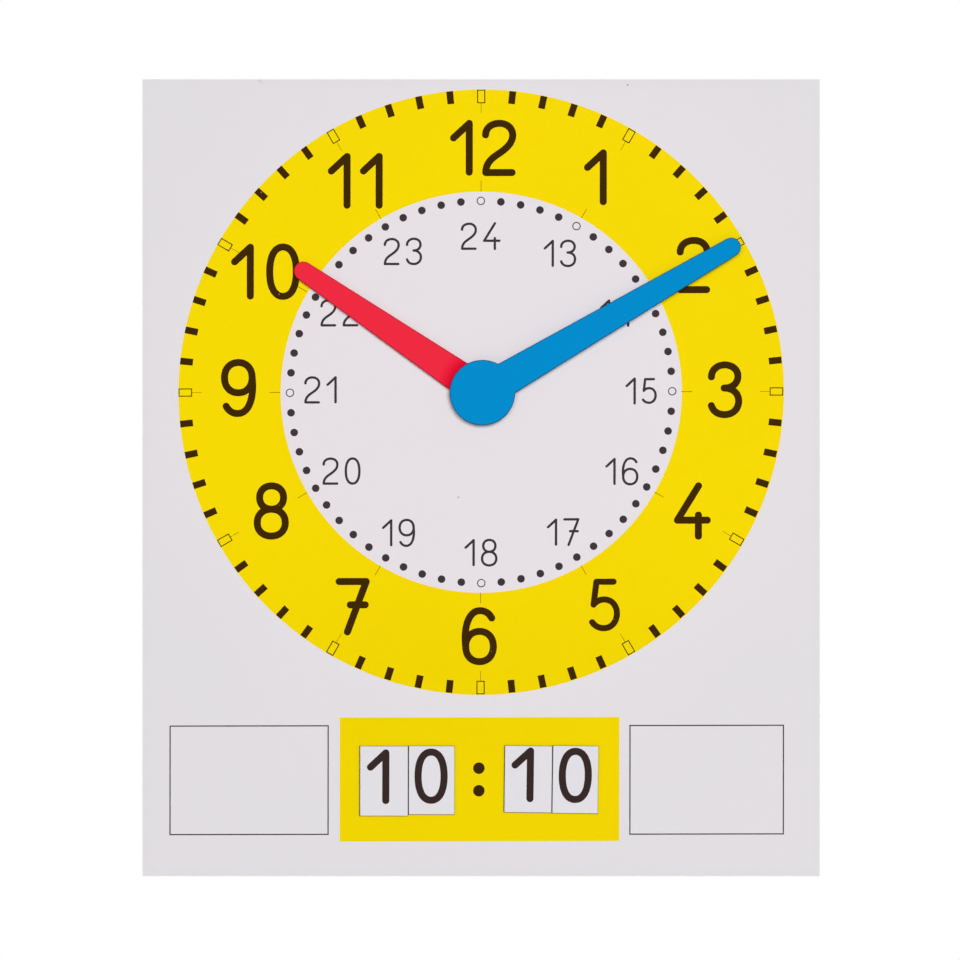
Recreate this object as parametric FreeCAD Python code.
import FreeCAD, Part
import math
import os

# Geared teaching clock, in millimetres. It stands upright and faces -Y, with X to the right and Z up.
# The origin is on the axis of the hands, in the back plane, which holds the rear faces of the four
# magnets and of the gearbox. A depth is measured from the back plane towards the front, so that
# depth d lies at y = -d. Angles run clockwise from 12 o'clock, as seen from the front.

# Board: printed film on a steel sheet on a foamed plastic board. The hole for the hands is not
# exactly in the middle.
BOARD_WIDTH = 340.0
BOARD_HEIGHT = 400.0
AXIS_FROM_LEFT = 170.65
AXIS_ABOVE_EDGE = 242.6
BOARD_CENTRE = (BOARD_WIDTH / 2 - AXIS_FROM_LEFT, BOARD_HEIGHT / 2 - AXIS_ABOVE_EDGE)
STANDOFF = 10.0
FOAM_THICKNESS = 3.0
STEEL_THICKNESS = 0.3
FILM_THICKNESS = 0.2
FOAM_FRONT = STANDOFF + FOAM_THICKNESS
STEEL_FRONT = FOAM_FRONT + STEEL_THICKNESS
FACE = STEEL_FRONT + FILM_THICKNESS

# Hands: a round hub and a bar that tapers to a round tip, showing ten past ten.
MINUTE_ANGLE = 59.7
HOUR_ANGLE = 304.2
MINUTE_LENGTH = 149.2
HOUR_LENGTH = 113.3
MINUTE_ROOT_RADIUS = 8.8
HOUR_ROOT_RADIUS = 8.5
MINUTE_TIP_RADIUS = 4.8
HOUR_TIP_RADIUS = 4.8
MINUTE_HUB_RADIUS = 16.4
HOUR_HUB_RADIUS = 15.0
HAND_THICKNESS = 1.5
HAND_EDGE = 0.4
HUB_CORNER_RADIUS = 1.0
SOCKET_SKIN = 0.6
SOCKET_BOSS_RADIUS = 4.2
SOCKET_BOSS_HEIGHT = 0.25

# Gears: the minute pinion drives the intermediate wheel, three to one, and the intermediate pinion
# drives the hour wheel, four to one. Both pairs have the same centre distance.
MODULE = 0.8
PRESSURE_ANGLE = math.radians(20.0)
BACKLASH = 0.14
ROOT_DEPTH = 1.25
FLANK_SHARES = (0.35, 1.0)
MINUTE_PINION_TEETH = 15
INTERMEDIATE_WHEEL_TEETH = 45
INTERMEDIATE_PINION_TEETH = 12
HOUR_WHEEL_TEETH = 48
MINUTE_PAIR_SHIFT = 0.2
HOUR_PAIR_SHIFT = 0.3
CENTRE_DISTANCE = MODULE * (INTERMEDIATE_PINION_TEETH + HOUR_WHEEL_TEETH) / 2
INTERMEDIATE_HEADING = 180.0
FACE_WIDTH = 1.8
WINDOW_COUNT = 3
WINDOW_RADIUS = 4.4
MINUTE_PLANE = 2.7
HOUR_PLANE = 5.4

# Fits. A press fit is drawn with a hair of room, and a running fit with its real clearance.
PRESS_ROOM = 0.01
RUNNING_ROOM = 0.05
END_PLAY = 0.15

# Arbor, hour tube and stem, one inside the other.
ARBOR_RADIUS = 2.0
ARBOR_FLAT = 1.5
TUBE_BORE = ARBOR_RADIUS + RUNNING_ROOM
TUBE_RADIUS = 3.45
TUBE_FLAT = 2.9
STEM_BORE = TUBE_RADIUS + RUNNING_ROOM
STEM_RADIUS = 5.0
STEM_HOLE = 5.2
POST_RADIUS = 1.6
HUB_RADIUS = 5.0
SHOULDER_RADIUS = 3.6
CHAMFER = 0.3

# Gearbox: a base against the board and a cover behind it, held by a screw on each side.
WALL = 1.5
PAD_THICKNESS = 0.5
PAD_WIDTH = 10.0
PAD_HEIGHT = 50.0
PAD_GAP = 14.0
GEAR_ROOM = 1.5
COVER_EDGE = 0.8
POST_ROOM = 0.15
BOSS_RADIUS = 4.2
BOSS_HEIGHT = 0.5
BEARING_BOTTOM = 0.7
EAR_RADIUS = 3.8
EAR_BACK = 3.0
SCREW_RADIUS = 1.0
SCREW_HOLE_RADIUS = 1.15
SCREW_HEAD_RADIUS = 2.0
SCREW_HEAD_HEIGHT = 1.3
SCREW_HEAD_ROOM = 0.3
EAR_OFFSET = WALL + SCREW_HEAD_RADIUS + SCREW_HEAD_ROOM
SCREW_ENGAGEMENT = 1.3
BASE_FRONT = STANDOFF - PAD_THICKNESS
BASE_BACK = BASE_FRONT - WALL

# Spring washer that gives the minute arbor its friction.
SPRING_THICKNESS = 0.2
SPRING_BORE = 2.3
SPRING_RADIUS = 5.0
SPRING_GAP = 0.05

# Push-on ring on the front, under the hubs of the hands. Its tongues grip the stem, and it is so
# flat that the hands run close to the board.
RING_RADIUS = 9.5
RING_THICKNESS = 0.4
TONGUE_COUNT = 6
TONGUE_RADIUS = 7.2
TONGUE_SLOT = 0.8
RING_FRONT = FACE + RING_THICKNESS
STEM_FRONT = RING_FRONT + 0.2
HOUR_HAND_BACK = STEM_FRONT + 0.3
HOUR_HAND_FRONT = HOUR_HAND_BACK + HAND_THICKNESS
MINUTE_HAND_BACK = HOUR_HAND_FRONT + 0.4
MINUTE_HAND_FRONT = MINUTE_HAND_BACK + HAND_THICKNESS
ARBOR_FRONT = MINUTE_HAND_FRONT - SOCKET_SKIN

# Magnet feet: a moulded holder with a ferrite block in it, stuck on with a foam pad.
FOOT_INSET = 32.0
FOOT_WIDTH = 40.0
FOOT_HEIGHT = 22.0
FOOT_CORNER = 3.0
FOOT_EDGE = 0.8
FERRITE_WIDTH = 32.0
FERRITE_HEIGHT = 14.0
FERRITE_THICKNESS = 5.0
POCKET_ROOM = 0.1
FOOT_PAD_MARGIN = 3.0

# Digit tiles: magnetic foil under a printed face. Each was cut and put down by hand, so each has
# its own centre in X and Z, its own tilt clockwise in degrees, and its own width and height. The
# foil stands out round the face, and most on the left.
FOIL_THICKNESS = 0.8
TILE_FACE_THICKNESS = 0.25
FOIL_LEFT = 0.4
FOIL_RIGHT = 0.12
FOIL_BELOW = 0.22
FOIL_ABOVE = 0.16
TILES = {
    "hour_tens": (-49.5, -194.76, 0.1, 24.35, 35.2),
    "hour_units": (-25.58, -194.34, 0.1, 23.25, 34.55),
    "minute_tens": (22.84, -193.82, 0.7, 24.0, 33.6),
    "minute_units": (46.52, -194.04, 0.8, 23.1, 34.05),
}

FORWARD = FreeCAD.Vector(0, -1, 0)
AXIS = (0.0, 0.0)


def point(x, z, depth=0.0):
    return FreeCAD.Vector(x, -depth, z)


def polar(radius, angle, centre=AXIS):
    """X and Z of the point at a clock angle round a centre."""
    turn = math.radians(angle)
    return centre[0] + radius * math.sin(turn), centre[1] + radius * math.cos(turn)


def line(start, end):
    return Part.LineSegment(point(*start), point(*end)).toShape()


def arc(start, middle, end):
    return Part.Arc(point(*start), point(*middle), point(*end)).toShape()


def slab(edges, back, front):
    """A plate with a closed outline, from one depth to another."""
    face = Part.Face(Part.Wire(edges))
    face.translate(point(0, 0, back))
    return face.extrude(FORWARD * (front - back))


def disc(radius, back, front, centre=AXIS):
    return Part.makeCylinder(radius, front - back, point(*centre, back), FORWARD)


def ring(radius, bore, back, front, centre=AXIS):
    return disc(radius, back, front, centre).cut(disc(bore, back, front, centre))


def polygon(corners):
    """The edges of a closed outline with straight sides."""
    return [line(corners[i - 1], corners[i]) for i in range(len(corners))]


def block(width, height, back, front, centre):
    corner = point(centre[0] - width / 2, centre[1] - height / 2, front)
    return Part.makeBox(width, front - back, height, corner)


def edges_at(shape, depth):
    """The edges that lie flat at one depth."""
    return [
        edge
        for edge in shape.Edges
        if abs(edge.BoundBox.YMin + depth) < 1e-4 and abs(edge.BoundBox.YMax + depth) < 1e-4
    ]


def upright_edges(shape):
    """The edges that run from back to front."""
    return [edge for edge in shape.Edges if edge.BoundBox.YLength > 1e-3]


def link_outline(first, first_radius, second, second_radius):
    """Two round ends and the two straight sides that are tangent to both."""
    across, up = second[0] - first[0], second[1] - first[1]
    heading = math.degrees(math.atan2(across, up))
    side = math.degrees(math.acos((first_radius - second_radius) / math.hypot(across, up)))
    near = [polar(first_radius, heading + turn, first) for turn in (side, 180.0, -side)]
    far = [polar(second_radius, heading + turn, second) for turn in (-side, 0.0, side)]
    return [arc(*near), line(near[-1], far[0]), arc(*far), line(far[-1], near[0])]


# Board


def board_layer(back, front):
    """One layer of the board, with the hole for the stem."""
    layer = block(BOARD_WIDTH, BOARD_HEIGHT, back, front, BOARD_CENTRE)
    return layer.cut(disc(STEM_HOLE, back, front))


def board():
    return {
        "foam_board": board_layer(STANDOFF, FOAM_FRONT),
        "steel_sheet": board_layer(FOAM_FRONT, STEEL_FRONT),
        "dial_film": board_layer(STEEL_FRONT, FACE),
    }


# Gears


def involute(angle):
    return math.tan(angle) - angle


def root_radius(teeth, shift):
    return MODULE * (teeth / 2 - ROOT_DEPTH + shift)


def tip_radius(teeth, shift):
    return MODULE * (teeth / 2 + 1 + shift)


def gear_outline(teeth, shift, tooth_angle, centre=AXIS):
    """Teeth, one of them centred on tooth_angle. Each flank has straight sides between points of its
    involute, at FLANK_SHARES of the height from base circle to tip, so it never stands proud of it."""
    pitch = MODULE * teeth / 2
    base = pitch * math.cos(PRESSURE_ANGLE)
    root, tip = root_radius(teeth, shift), tip_radius(teeth, shift)
    thickness = MODULE * (math.pi / 2 + 2 * shift * math.tan(PRESSURE_ANGLE)) - BACKLASH / 2
    base_half_angle = thickness / 2 / pitch + involute(PRESSURE_ANGLE)
    flank = [(root, math.degrees(base_half_angle))]
    for share in FLANK_SHARES:
        radius = base + share * (tip - base)
        roll = involute(math.acos(base / radius))
        flank.append((radius, math.degrees(base_half_angle - roll)))
    corners = []
    for number in range(teeth):
        tooth = tooth_angle + number * 360.0 / teeth
        corners += [polar(radius, tooth - half_angle, centre) for radius, half_angle in flank]
        corners += [polar(radius, tooth + half_angle, centre) for radius, half_angle in reversed(flank)]
    return polygon(corners)


def windowed_wheel(teeth, shift, tooth_angle, back, centre=AXIS):
    """A toothed plate with round windows between its hub and its rim."""
    front = back + FACE_WIDTH
    wheel = slab(gear_outline(teeth, shift, tooth_angle, centre), back, front)
    middle = (root_radius(teeth, shift) + HUB_RADIUS) / 2
    for number in range(WINDOW_COUNT):
        place = polar(middle, number * 360.0 / WINDOW_COUNT, centre)
        wheel = wheel.cut(disc(WINDOW_RADIUS, back, front, place))
    return wheel


INTERMEDIATE_AXIS = polar(CENTRE_DISTANCE, INTERMEDIATE_HEADING)


def minute_pinion():
    """A tooth points at the intermediate axis. The shoulder in front keeps the hour wheel off."""
    front = MINUTE_PLANE + FACE_WIDTH
    outline = gear_outline(MINUTE_PINION_TEETH, MINUTE_PAIR_SHIFT, INTERMEDIATE_HEADING)
    pinion = slab(outline, MINUTE_PLANE, front)
    pinion = pinion.fuse(disc(SHOULDER_RADIUS, front, HOUR_PLANE - END_PLAY))
    return pinion.cut(disc(ARBOR_RADIUS + PRESS_ROOM, MINUTE_PLANE, HOUR_PLANE))


def intermediate_gear():
    """Wheel and pinion in one moulding. The wheel has a gap, and the pinion a tooth, towards the axis
    of the hands."""
    towards_axis = INTERMEDIATE_HEADING + 180.0
    wheel_front = MINUTE_PLANE + FACE_WIDTH
    back = WALL + BOSS_HEIGHT + END_PLAY
    front = BASE_BACK - BOSS_HEIGHT - END_PLAY
    gap_angle = towards_axis + 180.0 / INTERMEDIATE_WHEEL_TEETH
    gear = windowed_wheel(
        INTERMEDIATE_WHEEL_TEETH, -MINUTE_PAIR_SHIFT, gap_angle, MINUTE_PLANE, INTERMEDIATE_AXIS
    )
    outline = gear_outline(INTERMEDIATE_PINION_TEETH, HOUR_PAIR_SHIFT, towards_axis, INTERMEDIATE_AXIS)
    gear = gear.fuse(slab(outline, wheel_front, front))
    gear = gear.fuse(disc(SHOULDER_RADIUS, back, MINUTE_PLANE, INTERMEDIATE_AXIS))
    return gear.cut(disc(POST_RADIUS + RUNNING_ROOM, back, front, INTERMEDIATE_AXIS))


def hour_wheel():
    """Wheel, hub and tube in one moulding. The tube runs on the arbor and inside the stem, and its end
    has two flats for the hour hand."""
    gap_angle = INTERMEDIATE_HEADING + 180.0 / HOUR_WHEEL_TEETH
    wheel = windowed_wheel(HOUR_WHEEL_TEETH, -HOUR_PAIR_SHIFT, gap_angle, HOUR_PLANE)
    wheel = wheel.fuse(disc(HUB_RADIUS, HOUR_PLANE + FACE_WIDTH, BASE_BACK - END_PLAY))
    tube = disc(TUBE_RADIUS, BASE_BACK - END_PLAY, HOUR_HAND_BACK)
    tube = tube.fuse(flatted_disc(TUBE_RADIUS, TUBE_FLAT, HOUR_HAND_BACK, HOUR_HAND_FRONT, HOUR_ANGLE))
    return wheel.fuse(tube).cut(disc(TUBE_BORE, HOUR_PLANE, HOUR_HAND_FRONT))


def flatted_disc(radius, flat, back, front, angle):
    """A round bar with two flats, turned to a clock angle."""
    bar = disc(radius, back, front).common(block(2 * flat, 2 * radius, back, front, AXIS))
    bar.rotate(point(*AXIS), FORWARD, -angle)
    return bar


def minute_arbor():
    """Steel arbor from its blind bearing in the cover to the blind socket of the minute hand."""
    flat_back = MINUTE_HAND_BACK - SOCKET_BOSS_HEIGHT
    shaft = disc(ARBOR_RADIUS, BEARING_BOTTOM + END_PLAY, flat_back)
    shaft = shaft.makeChamfer(CHAMFER, edges_at(shaft, BEARING_BOTTOM + END_PLAY))
    return shaft.fuse(flatted_disc(ARBOR_RADIUS, ARBOR_FLAT, flat_back, ARBOR_FRONT, MINUTE_ANGLE))


# Hands


def hand_outline(angle, length, hub_radius, root_radius, bar_tip_radius):
    """Hub, inner corner, side and tip. In the frame of the hand, a side of the bar is the line at
    root_radius from the axis along its normal, and is tangent to the tip."""
    tip_centre = length - bar_tip_radius
    taper = math.asin((root_radius - bar_tip_radius) / tip_centre)
    heading = (math.sin(math.radians(angle)), math.cos(math.radians(angle)))

    def place(along, across):
        return along * heading[0] + across * heading[1], along * heading[1] - across * heading[0]

    normal = (math.sin(taper), math.cos(taper))
    reach = hub_radius + HUB_CORNER_RADIUS
    out = root_radius + HUB_CORNER_RADIUS
    run = math.sqrt(reach**2 - out**2)
    corner = (out * normal[0] + run * normal[1], out * normal[1] - run * normal[0])
    inward = (normal[0] + corner[0] / reach, normal[1] + corner[1] / reach)
    shrink = HUB_CORNER_RADIUS / math.hypot(*inward)
    hub_touch = (corner[0] * hub_radius / reach, corner[1] * hub_radius / reach)
    corner_middle = (corner[0] - inward[0] * shrink, corner[1] - inward[1] * shrink)
    bar_touch = [corner[i] - HUB_CORNER_RADIUS * normal[i] for i in (0, 1)]
    tip_touch = (tip_centre + bar_tip_radius * normal[0], bar_tip_radius * normal[1])
    right = [place(*spot) for spot in (hub_touch, corner_middle, bar_touch, tip_touch)]
    left = [place(along, -across) for along, across in (hub_touch, corner_middle, bar_touch, tip_touch)]
    return [
        arc(left[0], place(-hub_radius, 0), right[0]),
        arc(*right[:3]),
        line(right[2], right[3]),
        arc(right[3], place(length, 0), left[3]),
        line(left[3], left[2]),
        arc(*left[2::-1]),
    ]


def hand(outline, back):
    """A flat hand with softened front edges, without its hole."""
    front = back + HAND_THICKNESS
    blank = slab(outline, back, front)
    return blank.makeChamfer(HAND_EDGE, edges_at(blank, front))


def hour_hand():
    outline = hand_outline(HOUR_ANGLE, HOUR_LENGTH, HOUR_HUB_RADIUS, HOUR_ROOT_RADIUS, HOUR_TIP_RADIUS)
    hole = flatted_disc(
        TUBE_RADIUS + PRESS_ROOM, TUBE_FLAT + PRESS_ROOM, HOUR_HAND_BACK, HOUR_HAND_FRONT, HOUR_ANGLE
    )
    return hand(outline, HOUR_HAND_BACK).cut(hole)


def minute_hand():
    """The socket is blind, so that nothing shows on the front."""
    outline = hand_outline(
        MINUTE_ANGLE, MINUTE_LENGTH, MINUTE_HUB_RADIUS, MINUTE_ROOT_RADIUS, MINUTE_TIP_RADIUS
    )
    boss_back = MINUTE_HAND_BACK - SOCKET_BOSS_HEIGHT
    blank = hand(outline, MINUTE_HAND_BACK).fuse(disc(SOCKET_BOSS_RADIUS, boss_back, MINUTE_HAND_BACK))
    radius, flat = ARBOR_RADIUS + PRESS_ROOM, ARBOR_FLAT + PRESS_ROOM
    return blank.cut(flatted_disc(radius, flat, boss_back, ARBOR_FRONT, MINUTE_ANGLE))


# Gearbox


def box_outline(room):
    """The gearbox outline, at a given room outside the tips of the two big wheels."""
    hour_tip = tip_radius(HOUR_WHEEL_TEETH, -HOUR_PAIR_SHIFT)
    intermediate_tip = tip_radius(INTERMEDIATE_WHEEL_TEETH, -MINUTE_PAIR_SHIFT)
    return link_outline(AXIS, hour_tip + room, INTERMEDIATE_AXIS, intermediate_tip + room)


def screw_places():
    """One place on each side, level with the middle between the two axes."""
    reach = tip_radius(HOUR_WHEEL_TEETH, -HOUR_PAIR_SHIFT) + GEAR_ROOM + EAR_OFFSET
    level = INTERMEDIATE_AXIS[1] / 2
    return [(-reach, level), (reach, level)]


def gearbox_cover():
    """Shell with a blind bearing for the arbor, a socket for the post and two ears."""
    shell = slab(box_outline(GEAR_ROOM + WALL), 0.0, BASE_BACK)
    shell = shell.makeChamfer(COVER_EDGE, edges_at(shell, 0.0))
    for place in screw_places():
        shell = shell.fuse(disc(EAR_RADIUS, EAR_BACK, BASE_BACK, place))
    shell = shell.cut(slab(box_outline(GEAR_ROOM), WALL, BASE_BACK))
    for place in screw_places():
        shell = shell.cut(disc(SCREW_HOLE_RADIUS, EAR_BACK, BASE_BACK, place))
    boss_front = WALL + BOSS_HEIGHT
    shell = shell.fuse(disc(BOSS_RADIUS, WALL, boss_front))
    shell = shell.cut(disc(ARBOR_RADIUS + RUNNING_ROOM, BEARING_BOTTOM, boss_front))
    socket = ring(SHOULDER_RADIUS, POST_RADIUS + POST_ROOM, WALL, boss_front, INTERMEDIATE_AXIS)
    return shell.fuse(socket)


def gearbox_base():
    """Plate with the post of the intermediate gear and the stem that passes through the board."""
    base = slab(box_outline(GEAR_ROOM + WALL), BASE_BACK, BASE_FRONT)
    for place in screw_places():
        base = base.fuse(disc(EAR_RADIUS, BASE_BACK, BASE_FRONT, place))
        base = base.cut(disc(SCREW_RADIUS + PRESS_ROOM, BASE_BACK, BASE_FRONT, place))
    base = base.fuse(disc(POST_RADIUS, WALL + POST_ROOM, BASE_BACK, INTERMEDIATE_AXIS))
    base = base.fuse(disc(SHOULDER_RADIUS, BASE_BACK - BOSS_HEIGHT, BASE_BACK, INTERMEDIATE_AXIS))
    base = base.fuse(disc(STEM_RADIUS, BASE_FRONT, STEM_FRONT))
    return base.cut(disc(STEM_BORE, BASE_BACK, STEM_FRONT))


def gearbox_pads():
    """Two strips of foam tape, one on each side of the stem, that keep the gearbox from turning."""
    level = INTERMEDIATE_AXIS[1] / 2 - PAD_HEIGHT / 2
    return Part.makeCompound(
        [
            Part.makeBox(PAD_WIDTH, PAD_THICKNESS, PAD_HEIGHT, point(x, level, STANDOFF))
            for x in (-PAD_GAP / 2 - PAD_WIDTH, PAD_GAP / 2)
        ]
    )


def cover_screws():
    head_back = EAR_BACK - SCREW_HEAD_HEIGHT
    return Part.makeCompound(
        [
            disc(SCREW_HEAD_RADIUS, head_back, EAR_BACK, place).fuse(
                disc(SCREW_RADIUS, EAR_BACK, BASE_BACK + SCREW_ENGAGEMENT, place)
            )
            for place in screw_places()
        ]
    )


def spring_washer():
    """A shallow cone between the bearing boss of the cover and the minute pinion."""
    back = WALL + BOSS_HEIGHT
    front = MINUTE_PLANE - SPRING_GAP
    section = [
        point(SPRING_BORE, 0.0, back),
        point(SPRING_RADIUS, 0.0, front - SPRING_THICKNESS),
        point(SPRING_RADIUS, 0.0, front),
        point(SPRING_BORE, 0.0, back + SPRING_THICKNESS),
    ]
    return Part.Face(Part.makePolygon(section + section[:1])).revolve(point(*AXIS), FORWARD, 360.0)


def stem_ring():
    """Flat spring ring whose slots leave tongues round the stem."""
    made = ring(RING_RADIUS, STEM_RADIUS + PRESS_ROOM, FACE, RING_FRONT)
    slot_height = TONGUE_RADIUS - STEM_RADIUS / 2
    for number in range(TONGUE_COUNT):
        slot = block(TONGUE_SLOT, slot_height, FACE, RING_FRONT, (0.0, TONGUE_RADIUS - slot_height / 2))
        slot.rotate(point(*AXIS), FORWARD, number * 360.0 / TONGUE_COUNT)
        made = made.cut(slot)
    return made


# Magnet feet


def foot_places():
    x, z = BOARD_CENTRE
    across = BOARD_WIDTH / 2 - FOOT_INSET
    up = BOARD_HEIGHT / 2 - FOOT_INSET
    return {
        "top_left": (x - across, z + up),
        "top_right": (x + across, z + up),
        "bottom_left": (x - across, z - up),
        "bottom_right": (x + across, z - up),
    }


def magnet_foot(place):
    """Holder, ferrite block and foam pad of one foot."""
    holder = block(FOOT_WIDTH, FOOT_HEIGHT, 0.0, BASE_FRONT, place)
    holder = holder.makeChamfer(FOOT_CORNER, upright_edges(holder))
    holder = holder.makeChamfer(FOOT_EDGE, edges_at(holder, 0.0))
    pocket_width = FERRITE_WIDTH + 2 * POCKET_ROOM
    pocket_height = FERRITE_HEIGHT + 2 * POCKET_ROOM
    pad_width = FOOT_WIDTH - 2 * FOOT_PAD_MARGIN
    pad_height = FOOT_HEIGHT - 2 * FOOT_PAD_MARGIN
    return {
        "foot_holder": holder.cut(block(pocket_width, pocket_height, 0.0, FERRITE_THICKNESS, place)),
        "foot_magnet": block(FERRITE_WIDTH, FERRITE_HEIGHT, 0.0, FERRITE_THICKNESS, place),
        "foot_pad": block(pad_width, pad_height, BASE_FRONT, STANDOFF, place),
    }


# Digit tiles


def tile_layers(tile):
    """The foil at its full size, and the face that leaves a margin of it on each side."""
    x, z, tilt, width, height = tile
    foil_front = FACE + FOIL_THICKNESS
    face_width = width - FOIL_LEFT - FOIL_RIGHT
    face_height = height - FOIL_BELOW - FOIL_ABOVE
    face_middle = (x + (FOIL_LEFT - FOIL_RIGHT) / 2, z + (FOIL_BELOW - FOIL_ABOVE) / 2)
    layers = {
        "foil": block(width, height, FACE, foil_front, (x, z)),
        "face": block(face_width, face_height, foil_front, foil_front + TILE_FACE_THICKNESS, face_middle),
    }
    for layer in layers.values():
        layer.rotate(point(x, z), FORWARD, -tilt)
    return layers


def nodes():
    made = board()
    made["gearbox_base"] = gearbox_base()
    made["gearbox_cover"] = gearbox_cover()
    made["gearbox_pads"] = gearbox_pads()
    made["cover_screws"] = cover_screws()
    made["spring_washer"] = spring_washer()
    made["stem_ring"] = stem_ring()
    made["minute_arbor"] = minute_arbor()
    made["minute_pinion"] = minute_pinion()
    made["minute_hand"] = minute_hand()
    made["intermediate_gear"] = intermediate_gear()
    made["hour_wheel"] = hour_wheel()
    made["hour_hand"] = hour_hand()
    for corner, place in foot_places().items():
        for piece, shape in magnet_foot(place).items():
            made[f"{piece}_{corner}"] = shape
    for name, tile in TILES.items():
        for layer, shape in tile_layers(tile).items():
            made[f"{name}_{layer}"] = shape
    return made


os.makedirs("parts", exist_ok=True)
for name, shape in nodes().items():
    shape.exportStep(f"parts/{name}.step")
    print(f"{name}: {len(shape.Solids)} solid, {shape.Volume:.1f} mm3, valid {shape.isValid()}")
